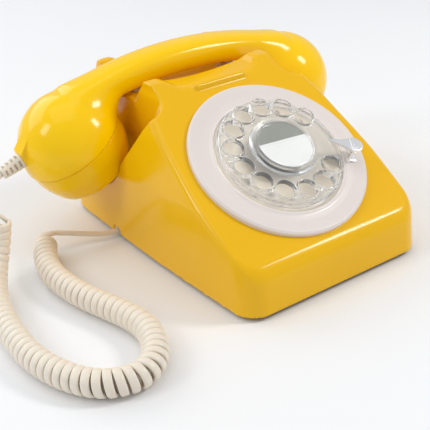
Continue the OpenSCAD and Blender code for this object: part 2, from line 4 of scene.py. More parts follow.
import bmesh
import bpy
import numpy as np
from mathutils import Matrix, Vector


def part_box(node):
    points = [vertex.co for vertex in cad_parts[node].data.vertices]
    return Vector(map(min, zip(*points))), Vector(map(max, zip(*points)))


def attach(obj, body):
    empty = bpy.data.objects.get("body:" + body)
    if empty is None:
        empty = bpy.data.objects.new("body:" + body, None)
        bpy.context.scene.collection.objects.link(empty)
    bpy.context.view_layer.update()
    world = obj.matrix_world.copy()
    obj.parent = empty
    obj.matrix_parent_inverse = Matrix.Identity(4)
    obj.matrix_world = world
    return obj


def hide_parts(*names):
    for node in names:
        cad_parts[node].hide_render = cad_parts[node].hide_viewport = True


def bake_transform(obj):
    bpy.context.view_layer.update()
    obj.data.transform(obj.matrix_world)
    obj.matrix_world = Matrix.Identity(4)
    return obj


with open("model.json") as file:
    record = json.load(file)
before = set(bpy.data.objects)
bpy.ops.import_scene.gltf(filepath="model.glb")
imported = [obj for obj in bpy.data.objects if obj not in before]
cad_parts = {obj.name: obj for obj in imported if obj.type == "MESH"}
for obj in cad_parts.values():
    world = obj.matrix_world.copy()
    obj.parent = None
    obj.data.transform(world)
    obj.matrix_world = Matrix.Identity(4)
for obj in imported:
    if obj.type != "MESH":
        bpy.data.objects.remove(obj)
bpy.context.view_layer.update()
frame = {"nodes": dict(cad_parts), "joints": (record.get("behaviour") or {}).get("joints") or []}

import openvdb
from mathutils import Matrix, Vector

MM = 0.001
SCENE = bpy.context.scene
SCENE.view_settings.view_transform = "Standard"


# ---------------------------------------------------------------- places from the frame, in mm
def box_mm(node):
    lo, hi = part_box(node)
    return np.array(lo) / MM, np.array(hi) / MM


CASE_LO, CASE_HI = box_mm("case")
HALF_W = CASE_HI[0]
FRONT, BACK = CASE_LO[1], CASE_HI[1]
BOTTOM = CASE_LO[2]
HORN_Z = CASE_HI[2]
LIP_Y, LIP_Z = FRONT + 1.4, 26.8
BODY_LO, BODY_HI = box_mm("handset_body")
HANDSET_Y = (BODY_LO[1] + BODY_HI[1]) / 2
CUP_R = (BODY_HI[1] - BODY_LO[1]) / 2
CUP_X = BODY_HI[0] - CUP_R

DIAL = next(j for j in frame["joints"] if j["name"] == "dial_spin")
DIAL_CENTRE = np.array(DIAL["pos_m"]) / MM
DIAL_NORMAL = np.array(DIAL["axis"]) / np.linalg.norm(DIAL["axis"])
DIAL_RIGHT = np.array([1.0, 0.0, 0.0])
DIAL_UP = np.cross(DIAL_NORMAL, DIAL_RIGHT)
FACE_SLOPE = -DIAL_NORMAL[1] / DIAL_NORMAL[2]


def dial_matrix(h=0.0, turn=0.0):
    """Dial coordinates (x right, y up the face, z out of it) to the row frame, in mm."""
    a = math.radians(turn)
    x = math.cos(a) * DIAL_RIGHT + math.sin(a) * DIAL_UP
    y = -math.sin(a) * DIAL_RIGHT + math.cos(a) * DIAL_UP
    m = np.eye(4)
    m[:3, 0], m[:3, 1], m[:3, 2] = x, y, DIAL_NORMAL
    m[:3, 3] = DIAL_CENTRE + h * DIAL_NORMAL
    return m


# ---------------------------------------------------------------- camera
CAMERA_AIM = np.array([-15.44, 2.44, 10.56])
CAMERA_DISTANCE = 556.4
CAMERA_AZIMUTH = math.radians(-33.543)
CAMERA_ELEVATION = math.radians(28.013)
CAMERA_ROLL = math.radians(-3.583)


def make_camera():
    ca, sa = math.cos(CAMERA_AZIMUTH), math.sin(CAMERA_AZIMUTH)
    ce, se = math.cos(CAMERA_ELEVATION), math.sin(CAMERA_ELEVATION)
    back = np.array([sa * ce, -ca * ce, se])
    right = np.cross([0, 0, 1], back)
    right /= np.linalg.norm(right)
    up = np.cross(back, right)
    cr, sr = math.cos(CAMERA_ROLL), math.sin(CAMERA_ROLL)
    m = np.eye(4)
    m[:3, 0], m[:3, 1], m[:3, 2] = cr * right + sr * up, -sr * right + cr * up, back
    m[:3, 3] = (CAMERA_AIM + CAMERA_DISTANCE * back) * MM
    data = bpy.data.cameras.new("camera")
    data.sensor_width = 36
    data.lens = 75.14
    data.clip_start, data.clip_end = 0.01, 20
    camera = bpy.data.objects.new("camera", data)
    camera.matrix_world = Matrix(m.tolist())
    SCENE.collection.objects.link(camera)
    SCENE.camera = camera


# ---------------------------------------------------------------- materials
class Nodes:
    """A short way to build a material's node tree."""

    def __init__(self, name):
        self.material = bpy.data.materials.new(name)
        self.material.use_nodes = True
        self.tree = self.material.node_tree
        self.tree.nodes.clear()
        self.out = self.add("ShaderNodeOutputMaterial")

    def add(self, kind, inputs=(), **settings):
        node = self.tree.nodes.new(kind)
        for key, value in settings.items():
            setattr(node, key, value)
        for key, value in dict(inputs).items():
            self.feed(node.inputs[key], value)
        return node

    def feed(self, socket, value):
        if isinstance(value, bpy.types.NodeSocket):
            self.tree.links.new(value, socket)
        else:
            socket.default_value = value

    def coords(self):
        return self.add("ShaderNodeTexCoord").outputs["Object"]

    def noise(self, scale, detail=3.0, rough=0.5, vector=None):
        node = self.add("ShaderNodeTexNoise", {"Scale": scale, "Detail": detail, "Roughness": rough,
                                               "Vector": vector or self.coords()})
        return node.outputs["Fac"]

    def math(self, operation, a, b=0.0, clamp=False):
        node = self.add("ShaderNodeMath", operation=operation, use_clamp=clamp)
        self.feed(node.inputs[0], a)
        self.feed(node.inputs[1], b)
        return node.outputs[0]

    def span(self, value, lo, hi, out_lo, out_hi):
        node = self.add("ShaderNodeMapRange", {"Value": value, "From Min": lo, "From Max": hi,
                                               "To Min": out_lo, "To Max": out_hi})
        return node.outputs[0]

    def mix(self, share, a, b):
        node = self.add("ShaderNodeMix", data_type="RGBA")
        self.feed(node.inputs[0], share)
        self.feed(node.inputs[6], a)
        self.feed(node.inputs[7], b)
        return node.outputs[2]

    def bump(self, height, strength, distance, normal=None):
        inputs = {"Height": height, "Strength": strength, "Distance": distance}
        if normal:
            inputs["Normal"] = normal
        return self.add("ShaderNodeBump", inputs).outputs["Normal"]

    def surface(self, **inputs):
        named = {key.replace("_", " "): value for key, value in inputs.items()}
        shader = self.add("ShaderNodeBsdfPrincipled", named)
        self.tree.links.new(shader.outputs[0], self.out.inputs[0])
        return shader


def rgb(r, g, b):
    return (r, g, b, 1.0)


def moulded(name, colour, deeper, roughness, grain=0.00002, coat=0.0, scuff=0.05, subsurface=0.0, shine=0.5):
    """Moulded plastic or rubber: slow colour drift, fine skin, faint rougher scuffs in scattered patches."""
    n = Nodes(name)
    drift = n.noise(9, 3)
    fine = n.noise(900, 2)
    marks = n.span(n.noise(140, 6, 0.7), 0.55, 0.75, 0, 1)
    base = n.mix(n.span(drift, 0.35, 0.65, 0, 1), rgb(*colour), rgb(*deeper))
    rough = n.math("ADD", n.span(drift, 0.3, 0.7, roughness * 0.85, roughness * 1.15),
                   n.math("MULTIPLY", marks, scuff))
    wave = n.noise(70, 2)
    skin = n.bump(fine, 0.12, grain, n.bump(wave, 0.05, grain * 8))
    shader = n.surface(Base_Color=base, Roughness=rough, Normal=skin, Subsurface_Weight=subsurface,
                       Subsurface_Scale=0.002)
    shader.inputs["Subsurface Radius"].default_value = (1.0, 0.6, 0.3)
    shader.inputs["Coat Weight"].default_value = coat
    shader.inputs["Coat Roughness"].default_value = 0.04
    shader.inputs["Specular IOR Level"].default_value = shine
    return n.material


def metal(name, colour, worn, roughness, brushed=(1, 1, 1)):
    """Metal with drawn or rolled marks, stained a little in patches."""
    n = Nodes(name)
    place = n.add("ShaderNodeMapping", {"Vector": n.coords(), "Scale": brushed}).outputs[0]
    marks = n.noise(600, 4, 0.6, place)
    stain = n.span(n.noise(60, 5), 0.5, 0.75, 0, 1)
    rough = n.math("ADD", n.span(marks, 0.3, 0.7, roughness * 0.7, roughness * 1.3),
                   n.math("MULTIPLY", stain, 0.15))
    n.surface(Base_Color=n.mix(stain, rgb(*colour), rgb(*worn)), Metallic=1.0, Roughness=rough,
              Normal=n.bump(marks, 0.15, 0.00002))
    return n.material


def striped(name, colour, gap, pitch, roughness, metallic=0.0):
    """Fine windings or a laminated stack, by position."""
    n = Nodes(name)
    wave = n.add("ShaderNodeTexWave", {"Scale": 1 / pitch, "Distortion": 0.6, "Detail": 2.0,
                                       "Vector": n.coords()}, bands_direction="Y").outputs["Fac"]
    n.surface(Base_Color=n.mix(wave, rgb(*gap), rgb(*colour)), Roughness=roughness, Metallic=metallic,
              Normal=n.bump(wave, 0.5, 0.0001))
    return n.material


def clear_plastic():
    """Clear moulding with a faint milky body. Lamps shine through it."""
    n = Nodes("clear_moulding")
    haze = n.noise(45, 4)
    fine = n.noise(1500, 2)
    scratch = n.span(n.noise(330, 8, 0.75), 0.5, 0.8, 0, 1)
    rough = n.math("ADD", n.span(haze, 0.3, 0.7, 0.03, 0.08), n.math("MULTIPLY", scratch, 0.05))
    skin = n.bump(fine, 0.05, 0.00001)
    body = n.add("ShaderNodeBsdfPrincipled", {
        "Base Color": n.mix(haze, rgb(0.97, 0.97, 0.965), rgb(0.93, 0.935, 0.93)), "Roughness": rough,
        "Transmission Weight": 0.93, "IOR": 1.46, "Normal": skin})
    through = n.add("ShaderNodeBsdfTransparent", {"Color": rgb(0.93, 0.94, 0.95)})
    lamp = n.add("ShaderNodeLightPath").outputs["Is Shadow Ray"]
    mixed = n.add("ShaderNodeMixShader", {0: lamp, 1: body.outputs[0], 2: through.outputs[0]})
    n.tree.links.new(mixed.outputs[0], n.out.inputs[0])
    return n.material


def label_paper():
    """Plain two-tone card: a grey-green upper part over a white one."""
    n = Nodes("label_card")
    offset = n.add("ShaderNodeVectorMath", operation="SUBTRACT")
    n.feed(offset.inputs[0], n.coords())
    offset.inputs[1].default_value = tuple(DIAL_CENTRE * MM)
    dot = n.add("ShaderNodeVectorMath", operation="DOT_PRODUCT")
    n.feed(dot.inputs[0], offset.outputs[0])
    tilt = math.radians(4)
    dot.inputs[1].default_value = tuple(math.cos(tilt) * DIAL_UP + math.sin(tilt) * DIAL_RIGHT)
    height = dot.outputs["Value"]
    upper = n.span(height, 0.0034, 0.0037, 0, 1)
    rule = n.math("MULTIPLY", n.span(height, 0.0020, 0.0022, 0, 1), n.span(height, 0.0024, 0.0026, 1, 0))
    fibre = n.noise(900, 5, 0.6)
    white = n.mix(fibre, rgb(0.80, 0.80, 0.78), rgb(0.72, 0.72, 0.70))
    grey = n.mix(fibre, rgb(0.15, 0.16, 0.12), rgb(0.18, 0.19, 0.15))
    lined = n.mix(n.math("MULTIPLY", rule, 0.35), white, rgb(0.35, 0.36, 0.34))
    n.surface(Base_Color=n.mix(upper, lined, grey), Roughness=0.6, Normal=n.bump(fibre, 0.2, 0.00003))
    return n.material


def board():
    n = Nodes("circuit_board")
    tracks = n.add("ShaderNodeTexBrick", {"Scale": 55.0, "Mortar Size": 0.03, "Vector": n.coords(),
                                          "Color1": rgb(0.02, 0.12, 0.05), "Color2": rgb(0.03, 0.16, 0.07),
                                          "Mortar": rgb(0.10, 0.30, 0.14)})
    grain = n.noise(500, 3)
    n.surface(Base_Color=tracks.outputs["Color"], Roughness=n.span(grain, 0.3, 0.7, 0.28, 0.42),
              Normal=n.bump(tracks.outputs["Fac"], 0.3, 0.00003))
    return n.material


def floor_material():
    n = Nodes("floor")
    slow = n.noise(3, 3)
    fine = n.noise(400, 3)
    n.surface(Base_Color=n.mix(slow, rgb(0.865, 0.867, 0.872), rgb(0.885, 0.886, 0.89)),
              Roughness=n.span(fine, 0.3, 0.7, 0.55, 0.65), Normal=n.bump(fine, 0.05, 0.00005))
    return n.material


MATERIALS = {
    "yellow_plastic": moulded("yellow_plastic", (1.0, 0.62, 0.0), (0.98, 0.595, 0.0), 0.15,
                              scuff=0.03, shine=0.32),
    "black_plastic": moulded("black_plastic", (0.022, 0.022, 0.023), (0.03, 0.03, 0.03), 0.45, grain=0.00008),
    "black_rubber": moulded("black_rubber", (0.03, 0.03, 0.03), (0.045, 0.044, 0.043), 0.75, grain=0.0001),
    "ivory_plastic": moulded("ivory_plastic", (0.80, 0.725, 0.68), (0.77, 0.69, 0.64), 0.3, coat=0.1),
    "number_ring_plastic": moulded("number_ring_plastic", (0.62, 0.55, 0.45), (0.58, 0.51, 0.42), 0.4),
    "cord_rubber": moulded("cord_rubber", (0.84, 0.76, 0.64), (0.81, 0.72, 0.60), 0.38, grain=0.00004,
                           subsurface=0.15),
    "nylon": moulded("nylon", (0.78, 0.74, 0.62), (0.70, 0.66, 0.54), 0.4, subsurface=0.2),
    "phenolic": moulded("phenolic", (0.20, 0.09, 0.035), (0.15, 0.065, 0.025), 0.4),
    "zinc_steel": metal("zinc_steel", (0.56, 0.57, 0.58), (0.40, 0.40, 0.38), 0.32),
    "chrome": metal("chrome", (0.97, 0.97, 0.97), (0.90, 0.90, 0.89), 0.22, (1, 6, 1)),
    "brass": metal("brass", (0.75, 0.55, 0.22), (0.50, 0.36, 0.16), 0.28),
    "aluminium_can": metal("aluminium_can", (0.78, 0.78, 0.79), (0.66, 0.66, 0.66), 0.3, (8, 1, 1)),
    "gong_steel": metal("gong_steel", (0.62, 0.60, 0.55), (0.48, 0.46, 0.41), 0.25, (1, 1, 8)),
    "winding": striped("winding", (0.50, 0.16, 0.05), (0.22, 0.06, 0.02), 0.0024, 0.35),
    "circuit_board": board(),
    "clear_acrylic": clear_plastic(),
    "printed_card": label_paper(),
}
# Darker copy of the yellow plastic for the case: painted shade, so the case reads darker than the handset of
# the same moulding.
CASE_YELLOW_PAINTED_SHADE = moulded("case_yellow_painted_shade", (0.89, 0.50, 0.003), (0.86, 0.475, 0.002), 0.16, scuff=0.03, shine=0.32)
NUMERAL_INK = moulded("numeral_ink", (0.015, 0.014, 0.013), (0.02, 0.02, 0.02), 0.5)


# ---------------------------------------------------------------- mesh helpers, in mm
def add_mesh(name, points, faces, slot, body, replaces=(), normals=None, material=None, matrix=None):
    points = np.asarray(points, float)
    if matrix is not None:
        points = points @ matrix[:3, :3].T + matrix[:3, 3]
    mesh = bpy.data.meshes.new(name)
    mesh.from_pydata((points * MM).tolist(), [], [list(map(int, f)) for f in faces])
    mesh.validate(clean_customdata=False)
    mesh.polygons.foreach_set("use_smooth", [True] * len(mesh.polygons))
    if normals is not None:
        if matrix is not None:
            normals = normals @ matrix[:3, :3].T
        mesh.normals_split_custom_set_from_vertices(normals.tolist())
    mesh.materials.append(material or MATERIALS[slot])
    obj = bpy.data.objects.new(name, mesh)
    SCENE.collection.objects.link(obj)
    if body:
        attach(obj, body)
    if replaces:
        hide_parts(*replaces)
    return obj


def sharpen(obj, degrees):
    """Smooth shading that breaks at corners sharper than the angle."""
    obj.data.set_sharp_from_angle(angle=math.radians(degrees))


def rounded(points, radii, steps=6):
    """A closed outline with each corner turned into an arc of its radius."""
    out = []
    count = len(points)
    for i in range(count):
        p, r = np.array(points[i], float), radii[i]
        a = np.array(points[i - 1], float) - p
        b = np.array(points[(i + 1) % count], float) - p
        la, lb = np.linalg.norm(a), np.linalg.norm(b)
        a, b = a / la, b / lb
        half = math.acos(max(-1.0, min(1.0, float(a @ b)))) / 2
        if r <= 0 or half > 1.56:
            out.append(p)
            continue
        reach = min(r / math.tan(half), 0.49 * la, 0.49 * lb)
        radius = reach * math.tan(half)
        middle = (a + b) / np.linalg.norm(a + b)
        centre = p + middle * radius / math.sin(half)
        start, end = p + a * reach - centre, p + b * reach - centre
        a0 = math.atan2(start[1], start[0])
        turn = (math.atan2(end[1], end[0]) - a0 + math.pi) % (2 * math.pi) - math.pi
        for k in range(steps + 1):
            t = a0 + turn * k / steps
            out.append(centre + radius * np.array([math.cos(t), math.sin(t)]))
    return np.array(out)


def outline_distance(outline, u, v):
    """Signed distance to a closed outline, negative inside."""
    best = np.full(np.broadcast(u, v).shape, 1e9)
    inside = np.zeros(best.shape, bool)
    count = len(outline)
    for i in range(count):
        (ax, ay), (bx, by) = outline[i], outline[(i + 1) % count]
        ex, ey = bx - ax, by - ay
        size = ex * ex + ey * ey
        if size < 1e-12:
            continue
        t = np.clip(((u - ax) * ex + (v - ay) * ey) / size, 0, 1)
        best = np.minimum(best, (u - ax - t * ex) ** 2 + (v - ay - t * ey) ** 2)
        if abs(ey) > 1e-12:
            crosses = (ay > v) != (by > v)
            inside ^= crosses & (u < ax + (v - ay) * ex / ey)
    return np.where(inside, -1, 1) * np.sqrt(best)


def round_max(a, b, r):
    """Intersection of two distance fields with a rounded edge."""
    return np.minimum(-r, np.maximum(a, b)) + np.hypot(np.maximum(r + a, 0), np.maximum(r + b, 0))


def round_min(a, b, r):
    """Union of two distance fields with a filleted corner."""
    return -round_max(-a, -b, r)


def even_out(field, step):
    """Divides a field by its slope, so that it measures distance near zero."""
    gx, gy, gz = np.gradient(field, step)
    return field / np.clip(np.sqrt(gx * gx + gy * gy + gz * gz), 0.3, 3.0)


def grid(lo, hi, step):
    axes = [np.arange(a, b + step, step, dtype=np.float32) for a, b in zip(lo, hi)]
    return axes[0][:, None, None], axes[1][None, :, None], axes[2][None, None, :]


def sample(field, at):
    """Trilinear look-up at fractional cell positions."""
    top = np.array(field.shape) - 1.001
    at = np.clip(at, 0, top)
    i = at.astype(int)
    f = at - i
    total = np.zeros(len(at))
    for dx in (0, 1):
        for dy in (0, 1):
            for dz in (0, 1):
                weight = (np.abs(1 - dx - f[:, 0]) * np.abs(1 - dy - f[:, 1]) * np.abs(1 - dz - f[:, 2]))
                total += weight * field[i[:, 0] + dx, i[:, 1] + dy, i[:, 2] + dz]
    return total


def slope(field, at):
    out = np.empty((len(at), 3))
    for axis in range(3):
        move = np.zeros(3)
        move[axis] = 0.6
        out[:, axis] = (sample(field, at + move) - sample(field, at - move)) / 1.2
    return out


def skin_of(field, lo, step, adaptivity):
    """Points, faces and normals of the field's zero surface."""
    field = np.ascontiguousarray(field, np.float32)
    volume = openvdb.FloatGrid(background=float(step * 3))
    volume.copyFromArray(np.clip(field, -step * 3, step * 3).astype(np.float32))
    at, tris, quads = volume.convertToPolygons(isovalue=0.0, adaptivity=adaptivity)
    at = at.astype(float)
    for _ in range(3):
        g = slope(field, at)
        size = np.maximum((g * g).sum(1), 1e-6)
        move = (sample(field, at) / size)[:, None] * g
        at -= np.clip(move, -0.5, 0.5)
    normals = slope(field, at)
    normals /= np.maximum(np.linalg.norm(normals, axis=1), 1e-9)[:, None]
    return at * step + np.array(lo), quads.tolist() + tris.tolist(), normals


def add_skin(name, field, lo, step, slot, body, replaces, adaptivity=0.02, matrix=None, material=None):
    points, faces, normals = skin_of(field, lo, step, adaptivity)
    return add_mesh(name, points, faces, slot, body, replaces, normals, material, matrix)


def add_lathe(name, profile, slot, body, replaces=(), matrix=None, segments=160, sharp=35, material=None):
    """Turns a closed (radius, height) outline round the local Z axis."""
    turns = np.linspace(0, 2 * np.pi, segments, endpoint=False)
    count = len(profile)
    points, faces = [], []
    for t in turns:
        points += [(r * math.cos(t), r * math.sin(t), h) for r, h in profile]
    for s in range(segments):
        a, b = s * count, (s + 1) % segments * count
        for k in range(count):
            j = (k + 1) % count
            faces.append((a + k, b + k, b + j, a + j))
    obj = add_mesh(name, points, faces, slot, body, replaces, matrix=matrix, material=material)
    weld(obj)
    sharpen(obj, sharp)
    return obj


def weld(obj):
    b = bmesh.new()
    b.from_mesh(obj.data)
    bmesh.ops.remove_doubles(b, verts=b.verts, dist=1e-7)
    bmesh.ops.dissolve_degenerate(b, edges=b.edges, dist=1e-8)
    bmesh.ops.recalc_face_normals(b, faces=b.faces)
    b.to_mesh(obj.data)
    b.free()


# ---------------------------------------------------------------- handset cord
COIL_ROUTE = [
    (-111, 45, 7.6), (-117, 33, 7.6), (-122, 18, 7.6), (-123.5, 2, 7.6), (-121, -20, 7.6), (-116, -38, 7.6),
    (-111, -56, 7.6), (-110, -72, 7.6), (-115, -87, 7.6), (-123, -97, 7.6), (-133, -101, 7.6),
    (-145, -98, 7.6), (-154, -90, 7.6), (-161, -77, 7.6), (-165.5, -60, 7.6), (-166.5, -42, 7.6),
    (-165, -22, 7.6), (-161, 0, 7.6), (-156.5, 14, 9.4), (-151, 25, 14), (-146, 31, 21),
    (-142.5, 34, 29), (-140, 35, 39)]
LEAD_ROUTE = [(-66, 36, 4.2), (-74, 36.5, 4.6), (-84, 39, 6.8), (-94, 42.5, 9.6), (-103, 45, 12)]
TAIL_ROUTE = [(-142, 43.5, 45.6), (-139.8, 50, 49), (-134, 54.5, 52.2), (-126.9, 55.5, 55.1)]
CORD_WIDTH = 4.6
CORD_THICK = 2.4
COIL_RADIUS = 6.0
COIL_PITCH = 4.85
COIL_STEPS = 28
COIL_START = math.radians(262)
UP = np.array([0, 0, 1.0])


def spline(points, steps):
    """Catmull-Rom curve through the points."""
    p = np.array(points, float)
    out = []
    for i in range(len(p) - 1):
        a, b, c, d = p[max(i - 1, 0)], p[i], p[i + 1], p[min(i + 2, len(p) - 1)]
        for k in range(steps):
            t = k / steps
            out.append((2 * b + (c - a) * t + (2 * a - 5 * b + 4 * c - d) * t ** 2
                        + (3 * b - a - 3 * c + d) * t ** 3) / 2)
    return np.array(out + [p[-1]])


def resample(line, spacing=None, count=None):
    """The same line with points an even distance apart."""
    run = np.concatenate([[0], np.cumsum(np.linalg.norm(np.diff(line, axis=0), axis=1))])
    count = count or max(2, int(round(run[-1] / spacing)) + 1)
    at = np.linspace(0, run[-1], count)
    return np.stack([np.interp(at, run, line[:, k]) for k in range(3)], axis=1), run[-1]


def unit_rows(v):
    return v / np.maximum(np.linalg.norm(v, axis=1), 1e-12)[:, None]


def joined(a, b, reach):
    """Points of a smooth link from line a's end to line b's start, tangent to both."""
    p, q = a[-1], b[0]
    leave = (a[-1] - a[-2]) / np.linalg.norm(a[-1] - a[-2]) * reach
    arrive = (b[1] - b[0]) / np.linalg.norm(b[1] - b[0]) * reach
    count = max(4, int(np.linalg.norm(q - p) / 1.2))
    t = np.linspace(0, 1, count + 1)[1:-1, None]
    return ((1 - t) ** 3 * p + 3 * (1 - t) ** 2 * t * (p + leave) + 3 * (1 - t) * t ** 2 * (q - arrive)
            + t ** 3 * q)


def cord_path():
    """The cord's centreline and, at each point, the way its flat side faces."""
    core, length = resample(spline(COIL_ROUTE, 24), spacing=0.5)
    along = unit_rows(np.gradient(core, axis=0))
    side = np.zeros_like(core)
    side[0] = np.cross(along[0], UP)
    for i in range(1, len(core)):
        s = side[i - 1] - (side[i - 1] @ along[i]) * along[i]
        side[i] = s / np.linalg.norm(s)
    side[0] /= np.linalg.norm(side[0])
    other = np.cross(along, side)
    turns = int(length / COIL_PITCH)
    count = turns * COIL_STEPS + 1
    t = np.linspace(0, len(core) - 1, count)
    pick = lambda rows: np.stack([np.interp(t, np.arange(len(rows)), rows[:, k]) for k in range(3)], axis=1)
    a = np.linspace(0, 2 * np.pi * turns, count) + COIL_START
    middle, u, v = pick(core), unit_rows(pick(side)), unit_rows(pick(other))
    face = np.cos(a)[:, None] * u + np.sin(a)[:, None] * v
    helix = middle + COIL_RADIUS * face
    lead, _ = resample(spline(LEAD_ROUTE, 12), spacing=1.6)
    tail, _ = resample(spline(TAIL_ROUTE, 12), spacing=1.6)
    # leave the last turn where it already runs the tail's way
    ahead = unit_rows(np.gradient(helix[-COIL_STEPS:], axis=0))
    best = np.argmax(ahead @ (tail[1] - tail[0]))
    last = len(helix) - COIL_STEPS + int(best) + 1
    helix, face = helix[:last], face[:last]
    gap_in, gap_out = joined(lead, helix, 3.5), joined(helix, tail, 4.0)
    ends = lambda a, b, k: unit_rows(np.linspace(a, b, k))
    path = np.concatenate([lead, gap_in, helix, gap_out, tail])
    faces = np.concatenate([
        np.tile(UP, (len(lead), 1)), ends(UP, face[0], len(gap_in) + 2)[1:-1], face,
        ends(face[-1], UP, len(gap_out) + 2)[1:-1], np.tile(UP, (len(tail), 1))])
    return path, faces


def make_cord():
    path, faces = cord_path()
    along = unit_rows(np.gradient(path, axis=0))
    face = unit_rows(faces - (faces * along).sum(1)[:, None] * along)
    wide = np.cross(along, face)
    section = []
    for k in range(16):
        a = 2 * math.pi * k / 16
        c, s = math.cos(a), math.sin(a)
        section.append((math.copysign(abs(c) ** 0.75, c) * CORD_WIDTH / 2,
                        math.copysign(abs(s) ** 0.75, s) * CORD_THICK / 2))
    points = np.concatenate([path + w * wide + h * face for w, h in section]).reshape(16, -1, 3)
    points = points.transpose(1, 0, 2).reshape(-1, 3)
    rows = len(path)
    quads = [(i * 16 + k, i * 16 + (k + 1) % 16, (i + 1) * 16 + (k + 1) % 16, (i + 1) * 16 + k)
             for i in range(rows - 1) for k in range(16)]
    quads.append(tuple(range(15, -1, -1)))
    quads.append(tuple((rows - 1) * 16 + k for k in range(16)))
    cord = add_mesh("curly_cord", points, quads, "cord_rubber", None,
                    ("cord_lead", "cord_coil", "cord_tail"))
    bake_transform(cord)


# ---------------------------------------------------------------- case
WALL = 2.5
TROUGH_Z = 83.0
TROUGH_HALF = 16.3
DIP_Z = 92.0
EDGE_R = 3.4
LIP_EDGE_R = 5.8
RECESS_X = 43.5
RECESS_Z = 61
RECESS_R = 30
# height against how far the side wall has moved in from the widest line
SIDE_LEAN = [(2.5, 0), (40, 1.3), (51, 2.0), (59, 3.7), (68, 6.0), (77, 8.0), (86.5, 11.6), (110, 21)]
# the horn's outer side seen from the front, (x, z), from the shoulder up
HORN_FLANK = [(140, 85.2), (57, 85.4), (53.5, 86.4), (50, 87.8), (46, 89.6), (43.8, 91.5), (42.8, 94.4),
              (43.2, 97.8), (43.4, 104), (43.4, 150)]


def make_case():
    step = 0.8
    lo = (-70.4, -99.2, BOTTOM - 3)
    x, y, z = grid(lo, (70.4, 99.2, 104), step)
    ax = np.abs(x)
    # leaning walls with round corners
    half = HALF_W - (y - 30) ** 2 / 3600 - np.interp(z, *zip(*SIDE_LEAN)).astype(np.float32)
    front = np.interp(z, [-10, BOTTOM, LIP_Z, 110], [FRONT - 0.7, FRONT, LIP_Y, -89]).astype(np.float32)
    back = np.interp(z, [-10, BOTTOM, 45, 95, 110], [BACK, BACK, BACK - 0.6, BACK - 9, BACK - 12])
    back = back.astype(np.float32)
    qx, qy = ax - half, np.maximum(front - y, y - back)
    corner = 13
    walls = (np.hypot(np.maximum(qx + corner, 0), np.maximum(qy + corner, 0))
             + np.minimum(np.maximum(qx, qy) + corner, 0) - corner)
    # sloping face, horns and trough, seen from the side
    horn_y = LIP_Y + (HORN_Z - LIP_Z) / FACE_SLOPE
    side = rounded([(-150, -60), (150, -60), (150, HORN_Z), (HANDSET_Y + 24, HORN_Z),
                    (HANDSET_Y + TROUGH_HALF, TROUGH_Z), (HANDSET_Y - TROUGH_HALF, TROUGH_Z),
                    (horn_y + 9, HORN_Z), (horn_y, HORN_Z), (-150, LIP_Z + (-150 - LIP_Y) * FACE_SLOPE)],
                   [0, 0, 0, 2.5, 3, 3, 2.6, 3.2, 0])
    yy, zz = np.meshgrid(y.ravel(), z.ravel(), indexing="ij")
    profile = outline_distance(side, yy, zz).astype(np.float32)[None]
    edge = np.interp(y, [-96, -82], [LIP_EDGE_R, EDGE_R]).astype(np.float32)
    body = round_max(walls, profile, edge)
    # hollow shoulder beside each horn, seen from the front
    flank = [(p[0], p[1]) for p in spline([(a, b, 0) for a, b in HORN_FLANK[1:-1]], 4)]
    flare = [(-200, -60), (140, -60), HORN_FLANK[0]] + flank + [HORN_FLANK[-1], (-200, 150)]
    xx, zz = np.meshgrid(ax.ravel(), z.ravel(), indexing="ij")
    body = round_max(body, outline_distance(flare, xx, zz).astype(np.float32)[:, None, :], 1.3)
    # recess where a cup hangs
    arc = [(HANDSET_Y + RECESS_R * math.cos(t), RECESS_Z + RECESS_R * math.sin(t))
           for t in np.radians(np.linspace(198, 342, 30))]
    recess = [(HANDSET_Y - 105, 152)] + arc + [(HANDSET_Y + 105, 152)]
    yy, zz = np.meshgrid(y.ravel(), z.ravel(), indexing="ij")
    cut = round_max(outline_distance(recess, yy, zz).astype(np.float32)[None], RECESS_X - ax, 12.0)
    body = round_max(body, -cut, 1.2)
    # dip between the left and right horns
    low = [(k, DIP_Z + k * k / 330) for k in range(0, 29, 4)] + [(35, HORN_Z + 1), (35, 150)]
    dip = [(-a, b) for a, b in reversed(low)][:-1] + low
    dip = rounded(dip, [0] + [4] + [6] * (len(dip) - 4) + [4] + [0])
    xx, zz = np.meshgrid(x.ravel(), z.ravel(), indexing="ij")
    body = round_max(body, -outline_distance(dip, xx, zz).astype(np.float32)[:, None, :], 1.6)
    outside = body
    # finger bar on the front edge of the cradle
    bar_x = np.clip(x, -17, 15)
    bar = np.sqrt((x - bar_x) ** 2 + (y - (horn_y - 8.6)) ** 2 + (z - DIP_Z) ** 2) - 2.6
    shape = round_min(outside, bar, 1.2)
    # bosses, then the inside
    inner = outside + WALL
    hollow = np.maximum(shape, -inner)
    for bx, by in ((50, FRONT + 22.5), (36, BACK - 12.5)):
        post = np.hypot(ax - bx, y - by)
        hollow = np.minimum(hollow, np.maximum(post - 4, outside + 1))
        hollow = np.maximum(hollow, -np.maximum(post - 1.5, z - 16))
    # openings
    rel = [x - DIAL_CENTRE[0], y - DIAL_CENTRE[1], z - DIAL_CENTRE[2]]
    h = rel[1] * DIAL_NORMAL[1] + rel[2] * DIAL_NORMAL[2]
    radial = np.sqrt(np.maximum(rel[0] ** 2 + rel[1] ** 2 + rel[2] ** 2 - h * h, 0))
    hollow = np.maximum(hollow, -np.maximum(radial - 46.2, np.abs(h) - 12))
    hollow = np.maximum(hollow, -np.maximum(np.hypot(ax - 33, y - HANDSET_Y) - 3.3, 75 - z))
    notch = np.maximum(np.maximum(x + 55, np.abs(y - 36) - 4), z - 6.6)
    hollow = np.maximum(hollow, -notch)
    hollow = np.maximum(hollow, -np.maximum(np.hypot(x - 30, z - 10) - 5, 80 - y))
    hollow = np.maximum(hollow, BOTTOM + 0.05 - z)
    # the case takes the darker copy of the yellow plastic, which is painted shade
    add_skin("case_shell", hollow, lo, step, "yellow_plastic", "base", ("case",), adaptivity=0.01,
             material=CASE_YELLOW_PAINTED_SHADE)


